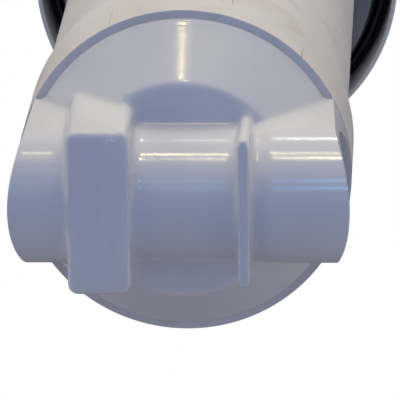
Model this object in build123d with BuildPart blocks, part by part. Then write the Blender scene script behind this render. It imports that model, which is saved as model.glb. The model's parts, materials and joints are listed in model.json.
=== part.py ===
"""In-line UV clarifier: a plastic water chamber with a lamp head that lifts out of its top.

+Z runs up the chamber. The header's feet stand on Z = 0, and the chamber's axis is the Z axis.
The cross pipe with the two pipe sockets runs along X.
"""
import os

from build123d import *

os.makedirs("parts", exist_ok=True)

# ---- clearances ----
GLUE_GAP = 0.10          # bonded plastic joints
RUN_FIT = 0.06           # turning and sliding fits
LOOSE_FIT = 0.30         # pieces that pass each other freely
FACE_GAP = 0.30          # flat faces of different bodies
SCREW_FIT = 0.05         # screws in the holes they grip
SEAL_TOUCH = 0.05        # O-rings and the walls they seal against
SEAL_SIDE_ROOM = 0.2     # O-rings and the sides of their grooves

# ---- chamber tube ----
TUBE_R = 80.0
TUBE_WALL = 4.9
TUBE_LENGTH = 412.4
TUBE_BORE = TUBE_R - TUBE_WALL

# ---- header: feet, cross pipe and cap ----
SOCKET_BORE_R = 30.15
SOCKET_WALL = 4.95
SOCKET_DEPTH = 38.15     # from the mouth to the pipe stop, along the bore
SOCKET_SHOULDER = 4.0    # how far the thick wall runs on behind the pipe stop
PIPE_STOP = 1.65         # step between the socket's bore and the pipe's bore
PIPE_WALL = 5.4
SOCKET_TO_FEET = 2.8     # sockets clear of the floor
SOCKET_TO_RIM = 0.6      # sockets below the rim
FLANK_DRAFT = 3.0        # how much each socket's flank widens up to the rim
FACE_R = 54.8
FACE_DROP = 32.3         # flat face below the rim
LIP_STEP = 1.0           # lip inside the tube's outer face
LIP_HEIGHT = 3.0
LIP_CHAMFER = 1.0
CAP_WALL = 5.0
SPIGOT_LENGTH = 30.0
SPIGOT_WALL = 5.0
DIVIDING_WALL = 4.0
PORT_LENGTH = 30.0
PORT_WIDTH = 32.0
PORT_INSET = 3.0         # port's end clear of the dividing wall
PORT_ROUND = 6.0
FOOT_X = 32.2            # middle of each foot rib
FOOT_RIB_WIDTH = 5.8
FOOT_RIB_HALF = 38.5
FOOT_BLOCK_WIDTH = 31.4
FOOT_BLOCK_X = -39.4
FOOT_BLOCK_HALF = 42.0
FOOT_BLOCK_DRAFT = 4.2   # how much each end of the block spreads up to the rim
FOOT_BLOCK_SIDE_DRAFT = 0.8
FOOT_BLOCK_RISE = 0.8    # the block's face above the foot ribs' plane
FOOT_BLOCK_ROUND = 4.5
FOOT_EDGE_ROUND = 2.7

# ---- joint sleeve and body flange ----
SLEEVE_WALL = 4.05
SLEEVE_LENGTH = 59.0
SLEEVE_EDGE_ROUND = 0.6
NECK_WALL = 7.0          # neck's outer face outside the tube
NECK_LENGTH = 18.4
FLANGE_STEP = 4.0        # flange beyond the neck
FLANGE_THICKNESS = 6.0
FLANGE_CHAMFER = 1.2

# ---- flow divider and sleeve guide ----
DIVIDER_THICKNESS = 3.0
DIVIDER_TOP_GAP = 56.0   # gap left below the tube's top, where the water turns
GUIDE_HEIGHT = 8.0
GUIDE_WALL = 3.0
GUIDE_ARM = 6.0
SLOT_DROP = 6.0          # divider's slot below the quartz sleeve's end

# ---- quartz sleeve and lamp ----
QUARTZ_R = 22.0
QUARTZ_WALL = 2.0
QUARTZ_END_DROP = 4.0    # sleeve's closed end below the guide
QUARTZ_TOP_DROP = 2.0    # sleeve's mouth below the nut's top
LAMP_ROOM = 2.8          # lamp tubes clear of the quartz sleeve
LAMP_TUBE_GAP = 2.4      # between the two lamp tubes
LAMP_BRIDGE_R = 3.2      # glass bridge that joins the lamp tubes
LAMP_END_ROOM = 24.0     # lamp's end above the sleeve's closed end
LAMP_BASE_SIDE = 3.0     # lamp base beyond the tubes, across them
LAMP_BASE_END = 2.8      # lamp base beyond the tubes, along them
LAMP_BASE_HEIGHT = 18.0
LAMP_BASE_ROUND = 5.0
LAMP_BASE_EDGE_ROUND = 2.0
LAMP_TRAVEL = 12.0
LAMP_BASE_ROOM = 2.0     # left under the lamp base when it's unplugged
PIN_R = 1.2
PIN_LENGTH = 10.0
PIN_PITCH = 8.0
PIN_COUNT = 4
PIN_END_ROOM = 2.0
SPACER_HEIGHT = 8.0
SPACER_RISE = 32.0       # spacer above the lamp's end

# ---- head base ----
RIM_THICKNESS = 9.4
PLUG_DEPTH = 12.0
PLUG_GAP = 1.1
SEAL_SECTION = 3.8
REGISTER_INSET = 11.6    # register inside the rim's edge
REGISTER_HEIGHT = 6.3
BOSS_WALL = 5.0          # boss's outer face outside the quartz sleeve
BOSS_HEIGHT = 9.0
NUT_WALL = 6.0
NUT_LIP = 3.5
NUT_LIP_ROOM = 0.5       # nut's lip clear of the quartz sleeve
NUT_GRIPS = 8
NUT_GRIP_CUT_R = 5.0
NUT_GRIP_DEPTH = 2.0

# ---- locking ring ----
SKIRT_ROOM = 11.0        # between the flange's edge and the skirt
RING_WALL = 2.6
SKIRT_DROP = 38.4        # how far the skirt hangs below the tube's top
RING_TOP = 6.0
RING_MOUTH_ROUND = 1.04
RING_TOP_ROUND = 2.7
INSERT_WALL = 5.9
INSERT_SHOULDER = 6.0
INSERT_LIP = 4.0
INSERT_BAND = 4.7
INSERT_FLOOR_GAP = 1.0   # insert above the flange
SHOULDER_DROP = 2.0      # insert's shoulder below the tube's top
RIM_SEAL_SECTION = 7.6
RIM_SEAL_GAP = 0.24      # rim seal clear of the insert
RIM_SEAL_DROP = 0.2      # rim seal below the insert's shoulder
RING_GRIPS = 24
RING_GRIP_CUT_R = 7.0
RING_GRIP_DEPTH = 1.5
RING_GRIP_HEIGHT = 20.0

# ---- lamp head ----
TRAY_THICKNESS = 5.0
TRAY_HOLE_ROOM = 3.0     # tray's hole around the sleeve nut
COVER_INSET = 5.0        # cover inside the flange's edge
COVER_WALL = 3.0
COVER_ROOM = 13.3        # left above the socket's bracket
COVER_SHOULDER = 18.0
COVER_SEAT_DROP = 0.9    # cover's mouth below the tray
POST_INSET = 12.0        # post circle inside the cover's outer face
POST_R = 5.0
WELL_HEIGHT = 9.9
WELL_ROOM = 0.5          # well around each screw's head
SCREW_HOLE_ROOM = 0.3
POST_COUNT = 4
SCREW_R = 2.0
SCREW_HEAD_R = 4.0
SCREW_HEAD_HEIGHT = 2.6
SCREW_LENGTH = 12.0
DRIVE_LENGTH = 4.4
DRIVE_WIDTH = 0.9
DRIVE_DEPTH = 1.4
LENS_R = 9.0
LENS_Y = -48.0
LENS_FLANGE = 2.5
LENS_FLANGE_THICKNESS = 1.6
LENS_PROUD = 1.8
LENS_ROUND = 1.5
BALLAST_SIZE = (36.0, 60.0, 44.0)
BALLAST_INSET = 28.0     # middle of the ballast inside the cover's outer face
BALLAST_ROUND = 2.5
EAR_LENGTH = 8.0
EAR_WIDTH = 18.0
EAR_THICKNESS = 2.0
EAR_SCREW_HEAD_R = 3.4
EAR_SCREW_END = 0.5      # screw's end above the tray's underside
TERMINAL_SIZE = (20.0, 40.0, 16.0)
TERMINAL_INSET = 26.0    # middle of the terminals inside the cover's outer face
TERMINAL_ROWS = 2
TERMINAL_WAYS = 4
TERMINAL_ROW_PITCH = 10.0
TERMINAL_HOLE_R = 2.4
TERMINAL_HOLE_DEPTH = 6.0
BRACKET_INSET = 3.5      # bracket's legs outside the tray's hole
BRACKET_FOOT = 8.0
BRACKET_WIDTH = 16.0
BRACKET_SHEET = 3.0
LAMP_SOCKET_SIDE = 5.0   # lamp socket beyond the lamp base, across the tubes
LAMP_SOCKET_END = 1.0    # lamp socket beyond the lamp base, along the tubes
LAMP_SOCKET_HEIGHT = 20.0
LAMP_SOCKET_ROUND = 3.0

# ---- cable gland ----
GLAND_Z_ABOVE_TRAY = 34.0
GLAND_PAD_R = 13.0
GLAND_PAD_OUT = 1.0
GLAND_PAD_IN = 5.0
GLAND_THREAD_R = 8.0
GLAND_FLANGE_R = 11.0
GLAND_FLANGE = 4.0
GLAND_STEM_R = 7.0
GLAND_STEM_LENGTH = 10.0
GLAND_NUT_R = 10.5
GLAND_NUT_LENGTH = 13.2
GLAND_SEAL_R = 5.5
GLAND_SEAL_BORE_R = 4.0
GLAND_SEAL_LENGTH = 9.5
LOCKNUT_R = 12.0
LOCKNUT_THICKNESS = 4.0
GLAND_THREAD_END = 1.0   # thread beyond the locknut
GLAND_SEAL_SET_BACK = 1.0
GLAND_NUT_TIP_R = 8.82
GLAND_NUT_ROUND = 1.5

# ---- radii and distances worked out from the sizes above ----
LIP_R = TUBE_R - LIP_STEP
SLEEVE_R = TUBE_R + GLUE_GAP + SLEEVE_WALL
SPIGOT_R = TUBE_BORE - GLUE_GAP
SPIGOT_BORE = SPIGOT_R - SPIGOT_WALL
PIPE_BORE_R = SOCKET_BORE_R - PIPE_STOP
PIPE_R = PIPE_BORE_R + PIPE_WALL
SOCKET_R = SOCKET_BORE_R + SOCKET_WALL
SOCKET_STOP = SLEEVE_R - SOCKET_DEPTH
SOCKET_START = SOCKET_STOP - SOCKET_SHOULDER
NECK_R = TUBE_R + NECK_WALL
FLANGE_R = NECK_R + FLANGE_STEP
REGISTER_R = FLANGE_R - REGISTER_INSET
RING_R = FLANGE_R + SKIRT_ROOM + RING_WALL
RIM_SEAL_R = NECK_R + RUN_FIT + INSERT_WALL + RIM_SEAL_GAP + RIM_SEAL_SECTION / 2
BOSS_R = QUARTZ_R + BOSS_WALL
NUT_R = BOSS_R + NUT_WALL
QUARTZ_BORE = QUARTZ_R - QUARTZ_WALL
GUIDE_BORE = QUARTZ_R + LOOSE_FIT
GUIDE_R = GUIDE_BORE + GUIDE_WALL
SLOT_HALF = GUIDE_R + LOOSE_FIT
LAMP_TUBE_R = (QUARTZ_BORE - LAMP_ROOM - LAMP_TUBE_GAP / 2) / 2
LAMP_TUBE_PITCH = 2 * LAMP_TUBE_R + LAMP_TUBE_GAP
LAMP_BASE_X = 2 * (LAMP_TUBE_R + LAMP_BASE_SIDE)
LAMP_BASE_Y = LAMP_TUBE_PITCH + 2 * (LAMP_TUBE_R + LAMP_BASE_END)
LAMP_SOCKET_X = LAMP_BASE_X + 2 * LAMP_SOCKET_SIDE
LAMP_SOCKET_Y = LAMP_BASE_Y + 2 * LAMP_SOCKET_END
COVER_R = FLANGE_R - COVER_INSET
TRAY_R = COVER_R - COVER_WALL - GLUE_GAP
TRAY_HOLE_R = NUT_R + TRAY_HOLE_ROOM
POST_CIRCLE_R = COVER_R - POST_INSET
BALLAST_X = COVER_R - BALLAST_INSET
EAR_SCREW_Y = (BALLAST_SIZE[1] + EAR_LENGTH) / 2
TERMINAL_X = TERMINAL_INSET - COVER_R
BRACKET_LEG_Y = TRAY_HOLE_R + BRACKET_INSET
GLAND_FACE_Y = COVER_R + GLAND_PAD_OUT
GLAND_INNER_Y = COVER_R - GLAND_PAD_IN

# ---- heights worked out from the sizes above ----
PIPE_Z = SOCKET_TO_FEET + SOCKET_R
RIM_Z = PIPE_Z + SOCKET_R + SOCKET_TO_RIM
FACE_Z = RIM_Z - FACE_DROP
SPIGOT_TOP = RIM_Z + SPIGOT_LENGTH
TUBE_TOP = RIM_Z + TUBE_LENGTH
FLANGE_Z = TUBE_TOP - NECK_LENGTH - FLANGE_THICKNESS
BASE_Z = TUBE_TOP + FACE_GAP
RIM_TOP = BASE_Z + RIM_THICKNESS
REGISTER_TOP = RIM_TOP + REGISTER_HEIGHT
BOSS_TOP = REGISTER_TOP + BOSS_HEIGHT
SLEEVE_SEAL_Z = BOSS_TOP + SEAL_SECTION / 2
NUT_LIP_Z = BOSS_TOP + SEAL_SECTION + FACE_GAP
NUT_TOP = NUT_LIP_Z + NUT_LIP
NUT_Z = REGISTER_TOP + 2 * FACE_GAP
QUARTZ_TOP = NUT_TOP - QUARTZ_TOP_DROP
QUARTZ_Z = SPIGOT_TOP - QUARTZ_END_DROP
QUARTZ_LENGTH = QUARTZ_TOP - QUARTZ_Z
SLOT_Z = QUARTZ_Z - SLOT_DROP
INSERT_LIP_Z = RIM_TOP + FACE_GAP
RING_Z = TUBE_TOP - SKIRT_DROP
RING_TOP_Z = INSERT_LIP_Z + INSERT_LIP
SHOULDER_Z = TUBE_TOP - SHOULDER_DROP
TRAY_Z = max(REGISTER_TOP, RING_TOP_Z) + FACE_GAP
TRAY_TOP = TRAY_Z + TRAY_THICKNESS
LAMP_BASE_Z = NUT_TOP + LAMP_TRAVEL + LAMP_BASE_ROOM
LAMP_SOCKET_Z = LAMP_BASE_Z + LAMP_BASE_HEIGHT + FACE_GAP
LAMP_Z = QUARTZ_Z + LAMP_END_ROOM
LAMP_TUBE_LENGTH = LAMP_BASE_Z - LAMP_Z
BRACKET_TOP = LAMP_SOCKET_Z + LAMP_SOCKET_HEIGHT + BRACKET_SHEET
COVER_Z = TRAY_Z - COVER_SEAT_DROP
COVER_TOP = BRACKET_TOP + COVER_ROOM + COVER_WALL
COVER_HEIGHT = COVER_TOP - COVER_Z
POST_TOP = COVER_TOP - COVER_SHOULDER
SCREW_SEAT_Z = POST_TOP + COVER_WALL
GLAND_Z = TRAY_TOP + GLAND_Z_ABOVE_TRAY


# ======== chamber ========

cone_slope = (LIP_R - FACE_R) / (FACE_DROP - LIP_HEIGHT)
inner_face_z = FACE_Z + CAP_WALL
inner_face_r = FACE_R - 0.5 * CAP_WALL
inner_rim_z = inner_face_z + (SPIGOT_BORE - inner_face_r) / cone_slope

with BuildPart() as header:
    # the foot block and the two foot ribs, from the floor up into the cap
    with BuildSketch(Plane.XY.offset(FOOT_BLOCK_RISE)):
        with Locations((FOOT_BLOCK_X, 0)):
            RectangleRounded(FOOT_BLOCK_WIDTH, 2 * FOOT_BLOCK_HALF, FOOT_BLOCK_ROUND)
    with BuildSketch(Plane.XY.offset(RIM_Z)):
        with Locations((FOOT_BLOCK_X, 0)):
            RectangleRounded(
                FOOT_BLOCK_WIDTH + 2 * FOOT_BLOCK_SIDE_DRAFT,
                2 * (FOOT_BLOCK_HALF + FOOT_BLOCK_DRAFT),
                FOOT_BLOCK_ROUND,
            )
    loft()
    fillet(header.faces().sort_by(Axis.Z)[0].edges(), radius=FOOT_EDGE_ROUND)
    with BuildSketch(Plane.XY):
        with Locations((-FOOT_X, 0), (FOOT_X, 0)):
            SlotOverall(2 * FOOT_RIB_HALF, FOOT_RIB_WIDTH, rotation=90)
    extrude(amount=RIM_Z)
    # flanks that carry each socket back to the rim
    for side in (-1, 1):
        with BuildSketch(Plane.YZ.offset(side * SOCKET_START)):
            with BuildLine():
                Polyline(
                    (-SOCKET_R, PIPE_Z),
                    (SOCKET_R, PIPE_Z),
                    (SOCKET_R + FLANK_DRAFT, RIM_Z),
                    (-SOCKET_R - FLANK_DRAFT, RIM_Z),
                    close=True,
                )
            make_face()
        extrude(amount=side * (SLEEVE_R - SOCKET_START))
    # the chamber's hollow
    with BuildSketch(Plane.XZ):
        with BuildLine():
            Polyline(
                (0, inner_face_z),
                (inner_face_r, inner_face_z),
                (SPIGOT_BORE, inner_rim_z),
                (SPIGOT_BORE, SPIGOT_TOP),
                (0, SPIGOT_TOP),
                close=True,
            )
        make_face()
    revolve(axis=Axis.Z, mode=Mode.SUBTRACT)
    # the cross pipe and its sockets
    with BuildSketch(Plane.YZ.offset(-SLEEVE_R)):
        with Locations((0, PIPE_Z)):
            Circle(PIPE_R)
    extrude(amount=2 * SLEEVE_R)
    for side in (-1, 1):
        with BuildSketch(Plane.YZ.offset(side * SOCKET_START)):
            with Locations((0, PIPE_Z)):
                Circle(SOCKET_R)
        extrude(amount=side * (SLEEVE_R - SOCKET_START))
    # the cap's wall, its lip and the spigot inside the tube
    with BuildSketch(Plane.XZ):
        with BuildLine():
            Polyline(
                (0, FACE_Z),
                (FACE_R, FACE_Z),
                (LIP_R, RIM_Z - LIP_HEIGHT),
                (TUBE_R, RIM_Z - LIP_HEIGHT + LIP_CHAMFER),
                (TUBE_R, RIM_Z),
                (SPIGOT_R, RIM_Z),
                (SPIGOT_R, SPIGOT_TOP),
                (SPIGOT_BORE, SPIGOT_TOP),
                (SPIGOT_BORE, inner_rim_z),
                (inner_face_r, inner_face_z),
                (0, inner_face_z),
                close=True,
            )
        make_face()
    revolve(axis=Axis.Z)
    # the sockets' mouths are flush with the joint sleeve
    with BuildSketch(Plane.XY):
        Circle(SLEEVE_R)
    extrude(amount=SPIGOT_TOP, mode=Mode.INTERSECT)
    # both bores, with the dividing wall left between them
    for side in (-1, 1):
        with BuildSketch(Plane.YZ.offset(side * DIVIDING_WALL / 2)):
            with Locations((0, PIPE_Z)):
                Circle(PIPE_BORE_R)
        extrude(amount=side * SLEEVE_R, mode=Mode.SUBTRACT)
        with BuildSketch(Plane.YZ.offset(side * SOCKET_STOP)):
            with Locations((0, PIPE_Z)):
                Circle(SOCKET_BORE_R)
        extrude(amount=side * SLEEVE_R, mode=Mode.SUBTRACT)
    # ports through the pipe's crown, one each side of the dividing wall
    port_x = DIVIDING_WALL / 2 + PORT_INSET + PORT_LENGTH / 2
    with BuildSketch(Plane.XY.offset(PIPE_Z)):
        with Locations((-port_x, 0), (port_x, 0)):
            RectangleRounded(PORT_LENGTH, PORT_WIDTH, PORT_ROUND)
    extrude(amount=RIM_Z - PIPE_Z, mode=Mode.SUBTRACT)

with BuildPart() as joint_sleeve:
    with BuildSketch(Plane.XY.offset(RIM_Z)):
        Circle(SLEEVE_R)
        Circle(TUBE_R + GLUE_GAP, mode=Mode.SUBTRACT)
    extrude(amount=SLEEVE_LENGTH)
    outer_rims = joint_sleeve.edges().filter_by(GeomType.CIRCLE).group_by(SortBy.RADIUS)[-1]
    fillet(outer_rims, radius=SLEEVE_EDGE_ROUND)

with BuildPart() as body_tube:
    with BuildSketch(Plane.XY.offset(RIM_Z)):
        Circle(TUBE_R)
        Circle(TUBE_BORE, mode=Mode.SUBTRACT)
    extrude(amount=TUBE_LENGTH)

with BuildPart() as body_flange:
    with BuildSketch(Plane.XZ):
        with BuildLine():
            Polyline(
                (TUBE_R + GLUE_GAP, FLANGE_Z),
                (FLANGE_R - FLANGE_CHAMFER, FLANGE_Z),
                (FLANGE_R, FLANGE_Z + FLANGE_CHAMFER),
                (FLANGE_R, FLANGE_Z + FLANGE_THICKNESS),
                (NECK_R, FLANGE_Z + FLANGE_THICKNESS),
                (NECK_R, TUBE_TOP),
                (TUBE_R + GLUE_GAP, TUBE_TOP),
                close=True,
            )
        make_face()
    revolve(axis=Axis.Z)

divider_wide = TUBE_BORE - LOOSE_FIT
divider_narrow = SPIGOT_BORE - LOOSE_FIT
divider_floor = inner_face_z + LOOSE_FIT
divider_floor_half = inner_face_r - LOOSE_FIT
divider_top = TUBE_TOP - DIVIDER_TOP_GAP

with BuildPart() as flow_divider:
    with BuildSketch(Plane.YZ.offset(-DIVIDER_THICKNESS / 2)):
        with BuildLine():
            Polyline(
                (-divider_floor_half, divider_floor),
                (divider_floor_half, divider_floor),
                (divider_narrow, inner_rim_z + LOOSE_FIT),
                (divider_narrow, SPIGOT_TOP + LOOSE_FIT),
                (divider_wide, SPIGOT_TOP + LOOSE_FIT),
                (divider_wide, divider_top),
                (SLOT_HALF, divider_top),
                (SLOT_HALF, SLOT_Z),
                (-SLOT_HALF, SLOT_Z),
                (-SLOT_HALF, divider_top),
                (-divider_wide, divider_top),
                (-divider_wide, SPIGOT_TOP + LOOSE_FIT),
                (-divider_narrow, SPIGOT_TOP + LOOSE_FIT),
                (-divider_narrow, inner_rim_z + LOOSE_FIT),
                close=True,
            )
        make_face()
        with Locations((0, PIPE_Z)):
            Circle(PIPE_R + LOOSE_FIT, mode=Mode.SUBTRACT)
    extrude(amount=DIVIDER_THICKNESS)

with BuildPart() as sleeve_guide:
    with BuildSketch(Plane.XY.offset(SPIGOT_TOP)):
        Circle(GUIDE_R)
        Rectangle(2 * (TUBE_BORE - LOOSE_FIT), GUIDE_ARM)
        Circle(GUIDE_BORE, mode=Mode.SUBTRACT)
    extrude(amount=GUIDE_HEIGHT)


# ======== head base with the quartz sleeve ========

plug_r = TUBE_BORE - PLUG_GAP
head_seal_r = TUBE_BORE - RUN_FIT - SEAL_SECTION / 2
head_seal_z = BASE_Z - PLUG_DEPTH / 2
seal_floor_r = head_seal_r - SEAL_SECTION / 2
quartz_hole_r = QUARTZ_R + LOOSE_FIT

with BuildPart() as head_base:
    with BuildSketch(Plane.XZ):
        with BuildLine():
            Polyline(
                (quartz_hole_r, BASE_Z - PLUG_DEPTH),
                (plug_r, BASE_Z - PLUG_DEPTH),
                (plug_r, head_seal_z - SEAL_SECTION / 2 - SEAL_SIDE_ROOM),
                (seal_floor_r, head_seal_z - SEAL_SECTION / 2 - SEAL_SIDE_ROOM),
                (seal_floor_r, head_seal_z + SEAL_SECTION / 2 + SEAL_SIDE_ROOM),
                (plug_r, head_seal_z + SEAL_SECTION / 2 + SEAL_SIDE_ROOM),
                (plug_r, BASE_Z),
                (FLANGE_R, BASE_Z),
                (FLANGE_R, RIM_TOP),
                (REGISTER_R, RIM_TOP),
                (REGISTER_R, REGISTER_TOP),
                (BOSS_R, REGISTER_TOP),
                (BOSS_R, BOSS_TOP),
                (quartz_hole_r, BOSS_TOP),
                close=True,
            )
        make_face()
    revolve(axis=Axis.Z)

with BuildPart() as head_seal:
    with BuildSketch(Plane.XZ):
        with Locations((head_seal_r, head_seal_z)):
            Circle(SEAL_SECTION / 2)
    revolve(axis=Axis.Z)

with BuildPart() as quartz_sleeve:
    with BuildSketch(Plane.XY.offset(QUARTZ_Z + QUARTZ_R)):
        Circle(QUARTZ_R)
        Circle(QUARTZ_R - QUARTZ_WALL, mode=Mode.SUBTRACT)
    extrude(amount=QUARTZ_LENGTH - QUARTZ_R)
    with BuildSketch(Plane.XZ):
        with BuildLine():
            Line((0, QUARTZ_Z), (0, QUARTZ_Z + QUARTZ_WALL))
            RadiusArc(
                (0, QUARTZ_Z + QUARTZ_WALL),
                (QUARTZ_R - QUARTZ_WALL, QUARTZ_Z + QUARTZ_R),
                -(QUARTZ_R - QUARTZ_WALL),
            )
            Line((QUARTZ_R - QUARTZ_WALL, QUARTZ_Z + QUARTZ_R), (QUARTZ_R, QUARTZ_Z + QUARTZ_R))
            RadiusArc((QUARTZ_R, QUARTZ_Z + QUARTZ_R), (0, QUARTZ_Z), QUARTZ_R)
        make_face()
    revolve(axis=Axis.Z)

with BuildPart() as sleeve_seal:
    with BuildSketch(Plane.XZ):
        with Locations((QUARTZ_R + SEAL_TOUCH + SEAL_SECTION / 2, SLEEVE_SEAL_Z)):
            Circle(SEAL_SECTION / 2)
    revolve(axis=Axis.Z)

with BuildPart() as sleeve_nut:
    with BuildSketch(Plane.XY.offset(NUT_Z)):
        Circle(NUT_R)
        with PolarLocations(NUT_R + NUT_GRIP_CUT_R - NUT_GRIP_DEPTH, NUT_GRIPS):
            Circle(NUT_GRIP_CUT_R, mode=Mode.SUBTRACT)
        Circle(BOSS_R + RUN_FIT, mode=Mode.SUBTRACT)
    extrude(amount=NUT_LIP_Z - NUT_Z)
    with BuildSketch(Plane.XY.offset(NUT_LIP_Z)):
        Circle(NUT_R)
        with PolarLocations(NUT_R + NUT_GRIP_CUT_R - NUT_GRIP_DEPTH, NUT_GRIPS):
            Circle(NUT_GRIP_CUT_R, mode=Mode.SUBTRACT)
        Circle(QUARTZ_R + NUT_LIP_ROOM, mode=Mode.SUBTRACT)
    extrude(amount=NUT_LIP)


# ======== locking ring ========

neck_bore_r = NECK_R + RUN_FIT
rim_bore_r = FLANGE_R + LOOSE_FIT
insert_z = FLANGE_Z + FLANGE_THICKNESS + INSERT_FLOOR_GAP
shoulder_r = RING_R - RING_WALL - GLUE_GAP
upper_r = rim_bore_r + INSERT_BAND

with BuildPart() as ring_insert:
    with BuildSketch(Plane.XZ):
        with BuildLine():
            Polyline(
                (neck_bore_r, insert_z),
                (neck_bore_r + INSERT_WALL, insert_z),
                (neck_bore_r + INSERT_WALL, SHOULDER_Z),
                (shoulder_r, SHOULDER_Z),
                (shoulder_r, SHOULDER_Z + INSERT_SHOULDER),
                (upper_r, SHOULDER_Z + INSERT_SHOULDER),
                (upper_r, RING_TOP_Z),
                (REGISTER_R + 2 * LOOSE_FIT, RING_TOP_Z),
                (REGISTER_R + 2 * LOOSE_FIT, INSERT_LIP_Z),
                (rim_bore_r, INSERT_LIP_Z),
                (rim_bore_r, BASE_Z - FACE_GAP),
                (neck_bore_r, BASE_Z - FACE_GAP),
                close=True,
            )
        make_face()
    revolve(axis=Axis.Z)

with BuildPart() as locking_ring:
    with BuildSketch(Plane.XZ):
        with BuildLine():
            Polyline(
                (RING_R - RING_WALL, RING_Z),
                (RING_R, RING_Z),
                (RING_R, RING_TOP_Z),
                (upper_r + GLUE_GAP, RING_TOP_Z),
                (upper_r + GLUE_GAP, RING_TOP_Z - RING_TOP),
                (RING_R - RING_WALL, RING_TOP_Z - RING_TOP),
                close=True,
            )
        make_face()
    revolve(axis=Axis.Z)
    skirt_mouth = locking_ring.edges().filter_by(GeomType.CIRCLE).group_by(Axis.Z)[0]
    fillet(skirt_mouth, radius=RING_MOUTH_ROUND)
    top_edge = locking_ring.edges().filter_by(GeomType.CIRCLE).group_by(SortBy.RADIUS)[-1]
    fillet(top_edge.sort_by(Axis.Z)[-1], radius=RING_TOP_ROUND)
    with BuildSketch(Plane.XY.offset(RING_TOP_Z - RING_GRIP_HEIGHT)):
        with PolarLocations(RING_R + RING_GRIP_CUT_R - RING_GRIP_DEPTH, RING_GRIPS):
            Circle(RING_GRIP_CUT_R)
    extrude(amount=RING_GRIP_HEIGHT, mode=Mode.SUBTRACT)

with BuildPart() as rim_seal:
    with BuildSketch(Plane.XZ):
        with Locations((RIM_SEAL_R, SHOULDER_Z - RIM_SEAL_DROP - RIM_SEAL_SECTION / 2)):
            Circle(RIM_SEAL_SECTION / 2)
    revolve(axis=Axis.Z)


# ======== lamp head ========

with BuildPart() as lamp_tray:
    with BuildSketch(Plane.XY.offset(TRAY_Z)):
        Circle(TRAY_R)
        Circle(TRAY_HOLE_R, mode=Mode.SUBTRACT)
    extrude(amount=TRAY_THICKNESS)
    with BuildSketch(Plane.XY.offset(TRAY_TOP)):
        with PolarLocations(POST_CIRCLE_R, POST_COUNT, start_angle=45):
            Circle(POST_R)
    extrude(amount=POST_TOP - TRAY_TOP)
    with BuildSketch(Plane.XY.offset(POST_TOP)):
        with PolarLocations(POST_CIRCLE_R, POST_COUNT, start_angle=45):
            Circle(SCREW_R + SCREW_FIT)
    extrude(amount=-SCREW_LENGTH, mode=Mode.SUBTRACT)
    with BuildSketch(Plane.XY.offset(TRAY_TOP)):
        with Locations((BALLAST_X, -EAR_SCREW_Y), (BALLAST_X, EAR_SCREW_Y)):
            Circle(SCREW_R + SCREW_FIT)
    extrude(amount=-TRAY_THICKNESS, mode=Mode.SUBTRACT)

gland_plane = Plane(origin=(0, GLAND_FACE_Y, GLAND_Z), x_dir=(1, 0, 0), z_dir=(0, 1, 0))
gland_inner_plane = Plane(origin=(0, GLAND_INNER_Y, GLAND_Z), x_dir=(1, 0, 0), z_dir=(0, 1, 0))

with BuildPart() as head_cover:
    with BuildSketch(Plane.XY.offset(COVER_Z)):
        Circle(COVER_R)
    extrude(amount=COVER_HEIGHT)
    fillet(head_cover.edges().group_by(Axis.Z)[-1], radius=COVER_SHOULDER)
    offset(amount=-COVER_WALL, openings=head_cover.faces().sort_by(Axis.Z)[0])
    # flat pads for the cable gland
    with BuildSketch(gland_inner_plane):
        Circle(GLAND_PAD_R)
    extrude(amount=GLAND_FACE_Y - GLAND_INNER_Y)
    with BuildSketch(gland_plane):
        Circle(GLAND_THREAD_R + GLUE_GAP)
    extrude(amount=-(GLAND_FACE_Y - GLAND_INNER_Y), mode=Mode.SUBTRACT)
    # screw wells over the tray's posts
    with BuildSketch(Plane.XY.offset(POST_TOP + GLUE_GAP)):
        with PolarLocations(POST_CIRCLE_R, POST_COUNT, start_angle=45):
            Circle(SCREW_HEAD_R + COVER_WALL)
    extrude(amount=WELL_HEIGHT)
    with BuildSketch(Plane.XY.offset(SCREW_SEAT_Z)):
        with PolarLocations(POST_CIRCLE_R, POST_COUNT, start_angle=45):
            Circle(SCREW_HEAD_R + WELL_ROOM)
    extrude(amount=COVER_SHOULDER, mode=Mode.SUBTRACT)
    with BuildSketch(Plane.XY.offset(SCREW_SEAT_Z)):
        with PolarLocations(POST_CIRCLE_R, POST_COUNT, start_angle=45):
            Circle(SCREW_R + SCREW_HOLE_ROOM)
    extrude(amount=-2 * COVER_WALL, mode=Mode.SUBTRACT)
    # the sight lens's hole
    with BuildSketch(Plane.XY.offset(COVER_TOP)):
        with Locations((0, LENS_Y)):
            Circle(LENS_R + GLUE_GAP)
    extrude(amount=-2 * COVER_WALL, mode=Mode.SUBTRACT)

with BuildPart() as cover_screws:
    with BuildSketch(Plane.XY.offset(SCREW_SEAT_Z)):
        with PolarLocations(POST_CIRCLE_R, POST_COUNT, start_angle=45):
            Circle(SCREW_HEAD_R)
    extrude(amount=SCREW_HEAD_HEIGHT)
    with BuildSketch(Plane.XY.offset(SCREW_SEAT_Z)):
        with PolarLocations(POST_CIRCLE_R, POST_COUNT, start_angle=45):
            Circle(SCREW_R)
    extrude(amount=-SCREW_LENGTH)
    with BuildSketch(Plane.XY.offset(SCREW_SEAT_Z + SCREW_HEAD_HEIGHT)):
        with PolarLocations(POST_CIRCLE_R, POST_COUNT, start_angle=45):
            Rectangle(DRIVE_LENGTH, DRIVE_WIDTH)
            Rectangle(DRIVE_WIDTH, DRIVE_LENGTH)
    extrude(amount=-DRIVE_DEPTH, mode=Mode.SUBTRACT)

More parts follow.
